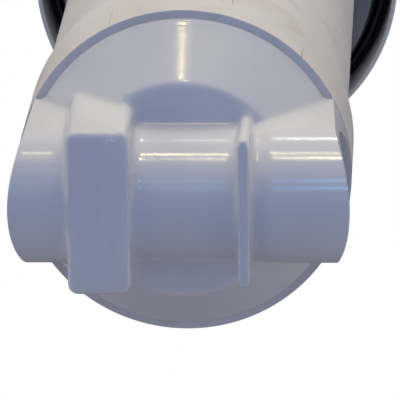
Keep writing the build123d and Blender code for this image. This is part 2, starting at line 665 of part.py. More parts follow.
with BuildPart() as sight_lens:
    with BuildSketch(Plane.XY.offset(COVER_TOP - COVER_WALL - GLUE_GAP - LENS_FLANGE_THICKNESS)):
        with Locations((0, LENS_Y)):
            Circle(LENS_R + LENS_FLANGE)
    extrude(amount=LENS_FLANGE_THICKNESS)
    with BuildSketch(Plane.XY.offset(COVER_TOP - COVER_WALL - GLUE_GAP)):
        with Locations((0, LENS_Y)):
            Circle(LENS_R)
    extrude(amount=COVER_WALL + GLUE_GAP + LENS_PROUD)
    fillet(sight_lens.edges().group_by(Axis.Z)[-1], radius=LENS_ROUND)

with BuildPart() as ballast:
    with BuildSketch(Plane.XY.offset(TRAY_TOP)):
        with Locations((BALLAST_X, 0)):
            RectangleRounded(BALLAST_SIZE[0], BALLAST_SIZE[1], BALLAST_ROUND)
    extrude(amount=BALLAST_SIZE[2])
    with BuildSketch(Plane.XY.offset(TRAY_TOP)):
        with Locations((BALLAST_X, 0)):
            Rectangle(EAR_WIDTH, BALLAST_SIZE[1] + 2 * EAR_LENGTH)
        with Locations((BALLAST_X, -EAR_SCREW_Y), (BALLAST_X, EAR_SCREW_Y)):
            Circle(SCREW_R + SCREW_HOLE_ROOM, mode=Mode.SUBTRACT)
    extrude(amount=EAR_THICKNESS)

with BuildPart() as ballast_screws:
    with BuildSketch(Plane.XY.offset(TRAY_TOP + EAR_THICKNESS)):
        with Locations((BALLAST_X, -EAR_SCREW_Y), (BALLAST_X, EAR_SCREW_Y)):
            Circle(EAR_SCREW_HEAD_R)
    extrude(amount=SCREW_HEAD_HEIGHT)
    with BuildSketch(Plane.XY.offset(TRAY_TOP + EAR_THICKNESS)):
        with Locations((BALLAST_X, -EAR_SCREW_Y), (BALLAST_X, EAR_SCREW_Y)):
            Circle(SCREW_R)
    extrude(amount=-(EAR_THICKNESS + TRAY_THICKNESS - EAR_SCREW_END))

with BuildPart() as terminal_block:
    with BuildSketch(Plane.XY.offset(TRAY_TOP)):
        with Locations((TERMINAL_X, 0)):
            Rectangle(TERMINAL_SIZE[0], TERMINAL_SIZE[1])
    extrude(amount=TERMINAL_SIZE[2])
    with BuildSketch(Plane.XY.offset(TRAY_TOP + TERMINAL_SIZE[2])):
        with Locations((TERMINAL_X, 0)):
            with GridLocations(
                TERMINAL_ROW_PITCH, TERMINAL_SIZE[1] / TERMINAL_WAYS, TERMINAL_ROWS, TERMINAL_WAYS
            ):
                Circle(TERMINAL_HOLE_R)
    extrude(amount=-TERMINAL_HOLE_DEPTH, mode=Mode.SUBTRACT)

bracket_out = BRACKET_LEG_Y + BRACKET_SHEET
foot_end = bracket_out + BRACKET_FOOT
foot_top = TRAY_TOP + BRACKET_SHEET

with BuildPart() as socket_bracket:
    with BuildSketch(Plane.YZ.offset(-BRACKET_WIDTH / 2)):
        with BuildLine():
            Polyline(
                (-foot_end, TRAY_TOP),
                (-BRACKET_LEG_Y, TRAY_TOP),
                (-BRACKET_LEG_Y, BRACKET_TOP - BRACKET_SHEET),
                (BRACKET_LEG_Y, BRACKET_TOP - BRACKET_SHEET),
                (BRACKET_LEG_Y, TRAY_TOP),
                (foot_end, TRAY_TOP),
                (foot_end, foot_top),
                (bracket_out, foot_top),
                (bracket_out, BRACKET_TOP),
                (-bracket_out, BRACKET_TOP),
                (-bracket_out, foot_top),
                (-foot_end, foot_top),
                close=True,
            )
        make_face()
    extrude(amount=BRACKET_WIDTH)

with BuildPart() as lamp_socket:
    with BuildSketch(Plane.XY.offset(LAMP_SOCKET_Z)):
        RectangleRounded(LAMP_SOCKET_X, LAMP_SOCKET_Y, LAMP_SOCKET_ROUND)
    extrude(amount=LAMP_SOCKET_HEIGHT)
    with BuildSketch(Plane.XY.offset(LAMP_SOCKET_Z)):
        with GridLocations(PIN_PITCH, PIN_PITCH, 1, PIN_COUNT):
            Circle(PIN_R + RUN_FIT)
    extrude(amount=PIN_LENGTH + PIN_END_ROOM, mode=Mode.SUBTRACT)


# ======== cable gland ========

gland_thread_length = GLAND_FACE_Y - GLAND_INNER_Y + LOCKNUT_THICKNESS + GLAND_THREAD_END

with BuildPart() as gland_body:
    with BuildSketch(gland_plane):
        RegularPolygon(GLAND_FLANGE_R, 6)
    extrude(amount=GLAND_FLANGE)
    with BuildSketch(gland_plane.offset(GLAND_FLANGE)):
        Circle(GLAND_STEM_R)
    extrude(amount=GLAND_STEM_LENGTH)
    with BuildSketch(gland_plane):
        Circle(GLAND_THREAD_R)
    extrude(amount=-gland_thread_length)
    with BuildSketch(gland_plane.offset(GLAND_FLANGE + GLAND_STEM_LENGTH)):
        Circle(GLAND_SEAL_R + GLUE_GAP)
    extrude(amount=-(GLAND_FLANGE + GLAND_STEM_LENGTH + gland_thread_length), mode=Mode.SUBTRACT)

with BuildPart() as gland_locknut:
    with BuildSketch(gland_inner_plane):
        RegularPolygon(LOCKNUT_R, 6)
        Circle(GLAND_THREAD_R + GLUE_GAP, mode=Mode.SUBTRACT)
    extrude(amount=-LOCKNUT_THICKNESS)

with BuildPart() as gland_seal:
    with BuildSketch(gland_plane.offset(GLAND_FLANGE + GLAND_SEAL_SET_BACK)):
        Circle(GLAND_SEAL_R)
        Circle(GLAND_SEAL_BORE_R, mode=Mode.SUBTRACT)
    extrude(amount=GLAND_SEAL_LENGTH)

with BuildPart() as gland_nut:
    with BuildSketch(gland_plane.offset(GLAND_FLANGE + FACE_GAP)):
        RegularPolygon(GLAND_NUT_R, 6)
        Circle(GLAND_STEM_R + RUN_FIT, mode=Mode.SUBTRACT)
    extrude(amount=GLAND_STEM_LENGTH)
    with BuildSketch(gland_plane.offset(GLAND_FLANGE + FACE_GAP + GLAND_STEM_LENGTH)):
        Circle(GLAND_NUT_TIP_R)
        Circle(GLAND_SEAL_R, mode=Mode.SUBTRACT)
    extrude(amount=GLAND_NUT_LENGTH - GLAND_STEM_LENGTH)
    fillet(gland_nut.edges().group_by(Axis.Y)[-1].sort_by(SortBy.RADIUS)[-1], radius=GLAND_NUT_ROUND)


# ======== lamp ========

with BuildPart() as lamp_tubes:
    with BuildSketch(Plane.XY.offset(LAMP_Z + LAMP_TUBE_R)):
        with GridLocations(1, LAMP_TUBE_PITCH, 1, 2):
            Circle(LAMP_TUBE_R)
    extrude(amount=LAMP_TUBE_LENGTH - LAMP_TUBE_R)
    with Locations(Plane.XY.offset(LAMP_Z + LAMP_TUBE_R)):
        with GridLocations(1, LAMP_TUBE_PITCH, 1, 2):
            Sphere(LAMP_TUBE_R)
    with BuildSketch(Plane.XZ.offset(-LAMP_TUBE_PITCH / 2)):
        with Locations((0, LAMP_Z + 2 * LAMP_TUBE_R)):
            Circle(LAMP_BRIDGE_R)
    extrude(amount=LAMP_TUBE_PITCH)

with BuildPart() as lamp_base:
    with BuildSketch(Plane.XY.offset(LAMP_BASE_Z)):
        RectangleRounded(LAMP_BASE_X, LAMP_BASE_Y, LAMP_BASE_ROUND)
    extrude(amount=LAMP_BASE_HEIGHT)
    fillet(lamp_base.edges().group_by(Axis.Z)[0], radius=LAMP_BASE_EDGE_ROUND)

with BuildPart() as lamp_pins:
    with BuildSketch(Plane.XY.offset(LAMP_BASE_Z + LAMP_BASE_HEIGHT)):
        with GridLocations(PIN_PITCH, PIN_PITCH, 1, PIN_COUNT):
            Circle(PIN_R)
    extrude(amount=PIN_LENGTH)

with BuildPart() as lamp_spacer:
    with BuildSketch(Plane.XY.offset(LAMP_Z + SPACER_RISE)):
        Circle(QUARTZ_BORE - LOOSE_FIT)
        with GridLocations(1, LAMP_TUBE_PITCH, 1, 2):
            Circle(LAMP_TUBE_R + GLUE_GAP, mode=Mode.SUBTRACT)
    extrude(amount=SPACER_HEIGHT)


# ======== labels and files ========

pieces = {
    "header": header,
    "joint_sleeve": joint_sleeve,
    "body_tube": body_tube,
    "body_flange": body_flange,
    "flow_divider": flow_divider,
    "sleeve_guide": sleeve_guide,
    "head_base": head_base,
    "head_seal": head_seal,
    "quartz_sleeve": quartz_sleeve,
    "sleeve_seal": sleeve_seal,
    "sleeve_nut": sleeve_nut,
    "ring_insert": ring_insert,
    "locking_ring": locking_ring,
    "rim_seal": rim_seal,
    "lamp_tray": lamp_tray,
    "head_cover": head_cover,
    "cover_screws": cover_screws,
    "sight_lens": sight_lens,
    "ballast": ballast,
    "ballast_screws": ballast_screws,
    "terminal_block": terminal_block,
    "socket_bracket": socket_bracket,
    "lamp_socket": lamp_socket,
    "gland_body": gland_body,
    "gland_locknut": gland_locknut,
    "gland_seal": gland_seal,
    "gland_nut": gland_nut,
    "lamp_tubes": lamp_tubes,
    "lamp_base": lamp_base,
    "lamp_pins": lamp_pins,
    "lamp_spacer": lamp_spacer,
}
for name, piece in pieces.items():
    piece.part.label = name
    export_step(piece.part, f"parts/{name}.step")
    print(name, "solids", len(piece.part.solids()), "volume", round(piece.part.volume))
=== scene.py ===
# %% [markdown]
# # An in-line UV clarifier
# Pond water enters one socket of the cross pipe, climbs one side of the tube past a UV lamp, turns over
# the flow divider and comes down the other side. The frame is the finished engineering model: every
# place and size below comes from it, and this file makes the surfaces that the eye sees.

# %% The frame
import json
import math

import bmesh
import bpy
from mathutils import Matrix, Vector


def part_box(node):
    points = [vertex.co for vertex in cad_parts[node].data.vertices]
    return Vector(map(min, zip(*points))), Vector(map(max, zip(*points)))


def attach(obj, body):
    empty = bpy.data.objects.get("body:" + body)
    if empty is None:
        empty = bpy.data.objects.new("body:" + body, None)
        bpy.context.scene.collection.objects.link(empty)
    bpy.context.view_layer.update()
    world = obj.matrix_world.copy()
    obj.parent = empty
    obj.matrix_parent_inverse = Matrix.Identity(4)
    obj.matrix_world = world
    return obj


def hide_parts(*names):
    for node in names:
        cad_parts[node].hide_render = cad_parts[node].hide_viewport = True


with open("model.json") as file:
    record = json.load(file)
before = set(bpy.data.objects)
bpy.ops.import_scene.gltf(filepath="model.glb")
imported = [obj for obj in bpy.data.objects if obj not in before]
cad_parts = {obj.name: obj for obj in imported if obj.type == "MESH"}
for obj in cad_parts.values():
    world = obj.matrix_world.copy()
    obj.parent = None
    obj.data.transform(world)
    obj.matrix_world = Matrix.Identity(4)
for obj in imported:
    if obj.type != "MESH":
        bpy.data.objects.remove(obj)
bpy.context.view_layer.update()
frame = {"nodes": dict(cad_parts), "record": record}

MM = 0.001

# %% [markdown]
# Colours are easiest to compare with a paint chart as sRGB hex values, but the renderer works in linear
# light. One function does the change, so that no colour is turned twice.

# %% Colour


def linear(hex_value):
    channels = [int(hex_value[i:i + 2], 16) / 255 for i in (1, 3, 5)]
    curve = [c / 12.92 if c <= 0.04045 else ((c + 0.055) / 1.055) ** 2.4 for c in channels]
    return (*curve, 1.0)


print("mid grey", [round(c, 3) for c in linear("#808080")])

# %% [markdown]
# Every material here is a small tree of shader nodes. One function adds a node with its settings and
# links, so a material reads from top to bottom like a recipe. Object coordinates are in metres and stay
# with the piece, so a pattern keeps its real size and moves when the piece moves.

# %% A node, its settings and its links


def add(tree, kind, inputs=None, **settings):
    node = tree.nodes.new(kind)
    for key, value in settings.items():
        setattr(node, key, value)
    for key, value in (inputs or {}).items():
        if isinstance(value, bpy.types.NodeSocket):
            tree.links.new(value, node.inputs[key])
        else:
            node.inputs[key].default_value = value
    return node


def start(name):
    material = bpy.data.materials.new(name)
    material.use_nodes = True
    tree = material.node_tree
    tree.nodes.clear()
    where = add(tree, "ShaderNodeTexCoord").outputs["Object"]
    return material, tree, where


def finish_material(tree, **inputs):
    named = {key.replace("_", " "): value for key, value in inputs.items()}
    shader = add(tree, "ShaderNodeBsdfPrincipled", named)
    add(tree, "ShaderNodeOutputMaterial", {"Surface": shader.outputs[0]})


# %% [markdown]
# Most finishes on a made thing share one structure: patches, where the colour and the gloss drift a
# little over centimetres, and a grain, the fine relief that the mould or the tool left. A function for
# that structure takes both sizes in millimetres, and each material below says why it has the sizes it has.

# %% Patches and grain
NOISE_LOW = 0.35
NOISE_HIGH = 0.65


def patches(tree, where, size_mm, low, high, detail=3.0):
    cloud = add(tree, "ShaderNodeTexNoise", {"Vector": where, "Scale": 1 / (size_mm * MM), "Detail": detail})
    spread = {0: cloud.outputs[0], 1: NOISE_LOW, 2: NOISE_HIGH, 3: low, 4: high}
    return add(tree, "ShaderNodeMapRange", spread).outputs[0]


def grain(tree, where, size_mm, depth_mm):
    height = patches(tree, where, size_mm, 0.0, 1.0, detail=2.0)
    return add(tree, "ShaderNodeBump", {"Height": height, "Distance": depth_mm * MM}).outputs[0]


def drifting(name, colours, patch_mm, gloss, grain_mm, depth_mm, **inputs):
    material, tree, where = start(name)
    drift = patches(tree, where, patch_mm, 0.0, 1.0)
    colour = add(tree, "ShaderNodeMix", {0: drift, 6: linear(colours[0]), 7: linear(colours[1])},
                 data_type="RGBA")
    rough = patches(tree, where, patch_mm * 0.6, *gloss)
    relief = grain(tree, where, grain_mm, depth_mm)
    finish_material(tree, Base_Color=colour.outputs[2], Roughness=rough, Normal=relief, **inputs)
    return material


print("made the helpers")

# %% [markdown]
# The header, the locking ring and the lamp head's cover are injection moulded in white PVC against a
# polished mould. They are glossy, and the only relief is flow waviness that is far too shallow to feel:
# it makes the long highlights shimmer. Handling leaves patches a little duller than the rest.

# %% Moulded white PVC


def moulded_white_pvc():
    return drifting("moulded_white_pvc", ("#d9dadd", "#e0e0e1"), 60, (0.11, 0.17), 5.0, 0.012, IOR=1.54)


WHITE = moulded_white_pvc()
print("made", WHITE.name)

# %% [markdown]
# The chamber tube and the joint sleeve are extruded PVC. Extrusion leaves a matt, creamy skin with very
# faint lines along the tube. A pond unit is dragged about, so the tube also carries brown smudges about a
# centimetre across and long grey scuffs that run across it at a slant. A scuff is one noise, stretched
# along the slant and cut off high, so that only its few strongest streaks are left.

# %% Extruded PVC
SMUDGE_MM = 26.0
SCUFF_LONG_MM = 90.0
SCUFF_WIDE_MM = 3.2
SCUFF_SLANT = math.radians(24)


def extruded_pvc():
    material, tree, where = start("extruded_pvc")
    drift = patches(tree, where, 70, 0.0, 1.0)
    cream = add(tree, "ShaderNodeMix", {0: drift, 6: linear("#d7d3d0"), 7: linear("#e0dddc")},
                data_type="RGBA")
    smudge = add(tree, "ShaderNodeTexNoise", {"Vector": where, "Scale": 1 / (SMUDGE_MM * MM), "Detail": 4.0})
    smudged = add(tree, "ShaderNodeMapRange", {0: smudge.outputs[0], 1: 0.62, 2: 0.78, 3: 0.0, 4: 0.35})
    dirty = add(tree, "ShaderNodeMix", {0: smudged.outputs[0], 6: cream.outputs[2], 7: linear("#a3927f")},
                data_type="RGBA")
    along = (1 / (SCUFF_WIDE_MM * MM), 1 / (SCUFF_WIDE_MM * MM), 1 / (SCUFF_LONG_MM * MM))
    slanted = add(tree, "ShaderNodeMapping", {"Vector": where, "Rotation": (SCUFF_SLANT, 0, 0),
                                               "Scale": along})
    streak = add(tree, "ShaderNodeTexNoise", {"Vector": slanted.outputs[0], "Scale": 1.0, "Detail": 2.0})
    scuffed = add(tree, "ShaderNodeMapRange", {0: streak.outputs[0], 1: 0.70, 2: 0.76, 3: 0.0, 4: 0.6})
    scuff = add(tree, "ShaderNodeMix", {0: scuffed.outputs[0], 6: dirty.outputs[2], 7: linear("#8d8985")},
                data_type="RGBA")
    lines = add(tree, "ShaderNodeMapping", {"Vector": where, "Scale": (1.0, 1.0, 0.02)})
    finish_material(tree, Base_Color=scuff.outputs[2], Roughness=patches(tree, where, 40, 0.46, 0.58),
                    IOR=1.53, Normal=grain(tree, lines.outputs[0], 1.6, 0.02))
    return material


EXTRUDED = extruded_pvc()
print("made", EXTRUDED.name)

# %% [markdown]
# The rest of the chamber is plainer plastic and rubber. Grey PVC is machined, so it is satin with fine
# tool marks. The black parts are glass-filled nylon: the fibres roughen the skin and give it a dry sheen.
# An O-ring is EPDM, moulded smooth and wiped with silicone grease, so it is much glossier than it looks
# in the hand, and its highlight is what shows it is round.

# %% The other plastics and rubbers


def grey_pvc():
    return drifting("machined_grey_pvc", ("#85878b", "#94969a"), 35, (0.34, 0.46), 0.9, 0.015, IOR=1.53)


def black_nylon():
    return drifting("glass_filled_nylon", ("#17181a", "#202124"), 30, (0.38, 0.50), 0.7, 0.03, IOR=1.53)


def greased_epdm():
    return drifting("greased_epdm", ("#0b0b0c", "#121213"), 18, (0.16, 0.28), 1.2, 0.01, IOR=1.5)


def moulded_pbt():
    return drifting("moulded_pbt", ("#ddd9cf", "#e6e2d8"), 20, (0.36, 0.46), 0.8, 0.015, IOR=1.57)


def silicone_rubber():
    return drifting("silicone_rubber", ("#c6beb0", "#d2cabc"), 12, (0.48, 0.60), 0.9, 0.02, IOR=1.41)


PLASTICS = {
    "moulded_white": WHITE,
    "pvc_tube": EXTRUDED,
    "pvc_grey": grey_pvc(),
    "black_plastic": black_nylon(),
    "black_rubber": greased_epdm(),
    "lamp_white": moulded_pbt(),
    "silicone": silicone_rubber(),
}
print("plastics and rubbers", [material.name for material in PLASTICS.values()])

# %% [markdown]
# A metal has no base colour of its own to speak of: it is the colour of its reflection. What tells
# stainless steel, zinc plate and aluminium apart is their tint and the marks in them. Turned screws and
# rolled sheet have fine parallel marks, and zinc plate has pale flowers, its crystals, about 6 mm across.

# %% Metals


def brushed_metal(name, colours, gloss, squeeze):
    material, tree, where = start(name)
    rolled = add(tree, "ShaderNodeMapping", {"Vector": where, "Scale": squeeze})
    drift = patches(tree, where, 14, 0.0, 1.0)
    tint = add(tree, "ShaderNodeMix", {0: drift, 6: linear(colours[0]), 7: linear(colours[1])},
               data_type="RGBA")
    finish_material(tree, Base_Color=tint.outputs[2], Metallic=1.0,
                    Roughness=patches(tree, rolled.outputs[0], 1.2, *gloss),
                    Normal=grain(tree, rolled.outputs[0], 0.6, 0.008))
    return material


def zinc_plate():
    material, tree, where = start("zinc_plate")
    flower = add(tree, "ShaderNodeTexVoronoi", {"Vector": where, "Scale": 1 / (6.0 * MM)})
    tone = add(tree, "ShaderNodeSeparateColor", {0: flower.outputs["Color"]})
    tint = add(tree, "ShaderNodeMix", {0: tone.outputs[0], 6: linear("#a9adb0"), 7: linear("#c3c6c8")},
               data_type="RGBA")
    rough = add(tree, "ShaderNodeMapRange", {0: tone.outputs[1], 3: 0.28, 4: 0.42})
    finish_material(tree, Base_Color=tint.outputs[2], Metallic=1.0, Roughness=rough.outputs[0],
                    Normal=grain(tree, where, 1.0, 0.01))
    return material


ALONG_X = (0.05, 1.0, 1.0)
METALS = {
    "steel": brushed_metal("turned_stainless", ("#b4b2ae", "#c2c0bc"), (0.22, 0.34), ALONG_X),
    "aluminium": brushed_metal("rolled_aluminium", ("#bfc1c3", "#cdcfd1"), (0.30, 0.44), ALONG_X),
    "brass": brushed_metal("nickel_plated_brass", ("#c2b58f", "#cfc5a6"), (0.16, 0.26), ALONG_X),
    "zinc": zinc_plate(),
}
print("metals", [material.name for material in METALS.values()])

# %% [markdown]
# The quartz sleeve and the lamp are clear. Fused quartz has a lower IOR than window glass, and its drawn
# tube has faint streaks along its length. The sight lens is polycarbonate with a blue tint that warns
# that the lamp is lit.

# %% Clear pieces


def clear(name, tint, ior, gloss):
    material, tree, where = start(name)
    drawn = add(tree, "ShaderNodeMapping", {"Vector": where, "Scale": (1.0, 1.0, 0.05)})
    finish_material(tree, Base_Color=linear(tint), Transmission_Weight=1.0, IOR=ior,
                    Roughness=patches(tree, drawn.outputs[0], 8, *gloss),
                    Normal=grain(tree, drawn.outputs[0], 5, 0.01))
    return material


CLEARS = {
    "quartz": clear("fused_quartz", "#f6fafb", 1.46, (0.01, 0.05)),
    "lamp_glass": clear("lamp_glass", "#eef3f4", 1.50, (0.03, 0.10)),
    "lens": clear("tinted_polycarbonate", "#a9cfe4", 1.58, (0.10, 0.18)),
}
print("clear pieces", [material.name for material in CLEARS.values()])

# %% [markdown]
# The record names a slot for each node, and each slot has one finish. Every node is dressed here, so a
# node that no later piece stands for is never left plain.

# %% A finish for every node
FINISHES = {**PLASTICS, **METALS, **CLEARS}
slot_of = {part["node"]: part["material_slot"] for part in frame["record"]["subparts"]}
for name, node in frame["nodes"].items():
    node.data.materials.clear()
    node.data.materials.append(FINISHES[slot_of[name]])
print("finishes", len(FINISHES), "on", len(slot_of), "nodes")

# %% [markdown]
# A new piece takes its place from the node it stands for: it rides on the same body, takes the same slot
# and material, and hides the node. One function does all of that, so no piece can be left half dressed.

# %% Dressing a new piece
body_of = {n: body for body, members in frame["record"]["behaviour"]["bodies"].items() for n in members}


def dress(name, mesh, node, hides=True):
    piece = bpy.data.objects.new(name, mesh)
    bpy.context.scene.collection.objects.link(piece)
    mesh.materials.clear()
    mesh.materials.append(FINISHES[slot_of[node]])
    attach(piece, body_of[node])
    if hides:
        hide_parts(node)
    return piece


def soften_edges(piece, width_mm, segments=3, angle=math.radians(35)):
    mod = piece.modifiers.new("soft edges", "BEVEL")
    mod.width = width_mm * MM
    mod.segments = segments
    mod.limit_method = "ANGLE"
    mod.angle_limit = angle
    mod.harden_normals = True


def mesh_from(bm, name, angle=math.radians(35)):
    for face in bm.faces:
        face.smooth = True
    for edge in bm.edges:
        edge.smooth = len(edge.link_faces) != 2 or edge.calc_face_angle(0.0) < angle
    mesh = bpy.data.meshes.new(name)
    bm.to_mesh(mesh)
    bm.free()
    return mesh


print("bodies of nodes", len(body_of))

# %% [markdown]
# The header is one moulding: a cone, a cross pipe, a foot block and ribs that flow into each other
# through small rounds. An engineering model leaves those junctions sharp. A voxel remesh gives the whole
# moulding one even skin, and a few rounds of smoothing then act as the mould maker's fillet, because they
# move a vertex only where the surface turns faster than the voxels can follow. The vertices of the
# frame's copy are merged first, since its triangles are loose.
#
# A remesh nibbles at an edge that runs across its grid, and the socket mouths are such edges. So the
# mouths are pushed out along the pipe before the remesh, and pulled back to the sleeve's radius after it:
# the skin between then lies exactly on the mouth, and its edge is clean. The rim under the sleeve is
# pushed up in the same way, inside the tube's wall, so that no groove opens beside the sleeve. The cap's
# outer edge has the widest round of all, so its belt of skin gets more rounds of smoothing.

# %% The header's skin
VOXEL_MM = 1.4
TOUCHING = 0.01 * MM
FILLET_ROUNDS = 6
FILLET_PULL = 0.5
MOUTH_EXTRA = 7 * MM
MOUTH_NEAR = 0.02 * MM
MOUTH_MERGE = 0.35 * MM
RIM_EXTRA = 4 * MM
RIM_BELT = 1.0 * MM
EDGE_BELT_IN = 5.5 * MM
EDGE_BELT_DOWN = 8.0 * MM
EDGE_ROUNDS = 12
CLEAR_OF_FLANKS = 42 * MM


def merged_copy(node):
    bm = bmesh.new()
    bm.from_mesh(frame["nodes"][node].data)
    bmesh.ops.remove_doubles(bm, verts=bm.verts, dist=TOUCHING)
    return bm


def remeshed(bm, name):
    mesh = bpy.data.meshes.new(name)
    bm.to_mesh(mesh)
    bm.free()
    rough = bpy.data.objects.new(name, mesh)
    bpy.context.scene.collection.objects.link(rough)
    remesh = rough.modifiers.new("one skin", "REMESH")
    remesh.mode = "VOXEL"
    remesh.voxel_size = VOXEL_MM * MM
    even = bpy.data.meshes.new_from_object(rough.evaluated_get(bpy.context.evaluated_depsgraph_get()))
    bpy.data.objects.remove(rough)
    bm = bmesh.new()
    bm.from_mesh(even)
    return bm


def header_skin():
    bm = merged_copy("header")
    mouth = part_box("header")[1].x
    rim_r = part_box("body_tube")[1].x
    rim_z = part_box("body_tube")[0].z
    for vert in bm.verts:
        if vert.co.xy.length > mouth - MOUTH_NEAR:
            vert.co.x += math.copysign(MOUTH_EXTRA, vert.co.x)
        elif abs(vert.co.z - rim_z) < MOUTH_NEAR and abs(vert.co.xy.length - rim_r) < MOUTH_NEAR:
            vert.co.z += RIM_EXTRA
    bm = remeshed(bm, "header_rough")
    for _ in range(FILLET_ROUNDS):
        bmesh.ops.smooth_vert(bm, verts=bm.verts, factor=FILLET_PULL, use_axis_x=True, use_axis_y=True,
                              use_axis_z=True)
    belt = [v for v in bm.verts if rim_r - EDGE_BELT_IN < v.co.xy.length < rim_r + RIM_BELT
            and rim_z - EDGE_BELT_DOWN < v.co.z < rim_z - RIM_BELT and abs(v.co.y) > CLEAR_OF_FLANKS]
    for _ in range(EDGE_ROUNDS):
        bmesh.ops.smooth_vert(bm, verts=belt, factor=FILLET_PULL, use_axis_x=True, use_axis_y=True,
                              use_axis_z=True)
    outside = [v for v in bm.verts if v.co.xy.length > mouth]
    for vert in outside:
        vert.co.x = math.copysign(math.sqrt(mouth * mouth - vert.co.y * vert.co.y), vert.co.x)
    bmesh.ops.remove_doubles(bm, verts=outside, dist=MOUTH_MERGE)
    bmesh.ops.dissolve_degenerate(bm, dist=TOUCHING, edges=bm.edges)
    bmesh.ops.recalc_face_normals(bm, faces=bm.faces)
    return dress("header_skin", mesh_from(bm, "header_skin", angle=math.radians(50)), "header")


skin = header_skin()
print("header skin", len(skin.data.vertices), "vertices", 2 * len(skin.data.polygons), "triangles")

# %% [markdown]
# The foot rib on the block's side runs across the block's face as a strip that stands less than a
# millimetre proud. That is finer than the voxels, so it is a piece of its own: a stadium outline, made
# from two half circles, extruded and then bevelled.

# %% The raised strip
STRIP_X = -32.2 * MM
STRIP_WIDTH = 5.8 * MM
STRIP_LENGTH = 77.0 * MM
STRIP_DEPTH = 2.2 * MM
STRIP_ROUND = 0.8 * MM
ARC_STEPS = 12


def raised_strip():
    floor_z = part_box("header")[0].z
    bm = bmesh.new()
    made = bmesh.ops.create_circle(bm, cap_ends=True, radius=STRIP_WIDTH / 2, segments=2 * ARC_STEPS + 2)
    reach = (STRIP_LENGTH - STRIP_WIDTH) / 2
    for vert in made["verts"]:
        vert.co.y += math.copysign(reach, vert.co.y)
        vert.co += Vector((STRIP_X, 0, floor_z))
    grown = bmesh.ops.extrude_face_region(bm, geom=bm.faces[:])
    lifted = [item for item in grown["geom"] if isinstance(item, bmesh.types.BMVert)]
    bmesh.ops.translate(bm, verts=lifted, vec=(0, 0, STRIP_DEPTH))
    bmesh.ops.recalc_face_normals(bm, faces=bm.faces)
    rim = [e for e in bm.edges if all(abs(v.co.z - floor_z) < 1e-6 for v in e.verts)]
    bmesh.ops.bevel(bm, geom=rim, offset=STRIP_ROUND, affect="EDGES", segments=4, profile=0.5, material=-1)
    return dress("raised_strip", mesh_from(bm, "raised_strip"), "header", hides=False)


strip = raised_strip()
print("strip", len(strip.data.vertices), "vertices")

# %% [markdown]
# The tube, the sleeve, the flange, the big O-ring and the quartz sleeve are all turned shapes. Each is an
# outline in the radius and height plane, spun once round the axis, which gives an even ring of faces that
# takes a highlight without facets. Radii and heights come from the frame, and only the walls are named here.

# %% Turned pieces
TURN_STEPS = 192
SEAM_MERGE = 0.005 * MM


def turned(name, outline, node, edge_mm=None, hides=True):
    bm = bmesh.new()
    verts = [bm.verts.new((r, 0.0, z)) for r, z in outline]
    for first, second in zip(verts, verts[1:] + verts[:1]):
        bm.edges.new((first, second))
    bmesh.ops.spin(bm, geom=bm.verts[:] + bm.edges[:], axis=(0, 0, 1), cent=(0, 0, 0), angle=math.tau,
                   steps=TURN_STEPS, use_merge=True)
    bmesh.ops.remove_doubles(bm, verts=bm.verts, dist=SEAM_MERGE)
    bmesh.ops.recalc_face_normals(bm, faces=bm.faces)
    piece = dress(name, mesh_from(bm, name), node, hides)
    if edge_mm:
        soften_edges(piece, edge_mm)
    return piece


def band(node, wall_mm):
    low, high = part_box(node)
    inner = high.x - wall_mm * MM
    return [(inner, low.z), (high.x, low.z), (high.x, high.z), (inner, high.z)]


TUBE_WALL_MM = 4.9
turned("chamber_tube", band("body_tube", TUBE_WALL_MM), "body_tube", 0.4)
print("tube turned in", TURN_STEPS, "steps")

# %% [markdown]
# The joint sleeve is cemented over the tube's end. Solvent cement is squeezed out of the joint and fills
# the corner between the sleeve and the header's lip, so the sleeve's outline carries that small bead.

# %% The joint sleeve
SLEEVE_WALL = 4.05 * MM
CEMENT_REACH = 1.2 * MM
CEMENT_HIGH = 1.5 * MM
sleeve_low, sleeve_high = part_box("joint_sleeve")
sleeve_in = sleeve_high.x - SLEEVE_WALL
sleeve_outline = [
    (sleeve_in - CEMENT_REACH, sleeve_low.z),
    (sleeve_high.x, sleeve_low.z),
    (sleeve_high.x, sleeve_high.z),
    (sleeve_in, sleeve_high.z),
    (sleeve_in, sleeve_low.z + CEMENT_HIGH),
    (sleeve_in - CEMENT_REACH, sleeve_low.z + CEMENT_HIGH),
]
turned("joint_sleeve_turned", sleeve_outline, "joint_sleeve", 0.5)
print("sleeve", len(sleeve_outline), "points")

# %% [markdown]
# The flange sits on the tube's far end. It steps in above its wide part, where the locking ring's insert
# passes over it.

# %% The flange
FLANGE_HIGH = 6.0 * MM
FLANGE_STEP = 4.0 * MM
TUBE_FIT = 0.1 * MM
flange_low, flange_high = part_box("body_flange")
tube_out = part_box("body_tube")[1].x + TUBE_FIT
flange_outline = [
    (tube_out, flange_low.z),
    (flange_high.x, flange_low.z),
    (flange_high.x, flange_low.z + FLANGE_HIGH),
    (flange_high.x - FLANGE_STEP, flange_low.z + FLANGE_HIGH),
    (flange_high.x - FLANGE_STEP, flange_high.z),
    (tube_out, flange_high.z),
]
turned("flange_turned", flange_outline, "body_flange", 0.8)
print("flange", len(flange_outline), "points")

# %% [markdown]
# At the cap's outer edge the cone runs on into a wide round, which ends upright beside the sleeve. A turned
# ring gives that round its true shape over the header's skin.

# %% The cap's outer edge
LIP_ROUND = 4.5 * MM
LIP_R = 79.9 * MM
LIP_DIP = 0.5 * MM
CONE_START = Vector((54.8, 41.3)) * MM
CONE_END = Vector((79.0, 70.6)) * MM
LIP_START_R = 71.5 * MM
ARC_POINTS = 10


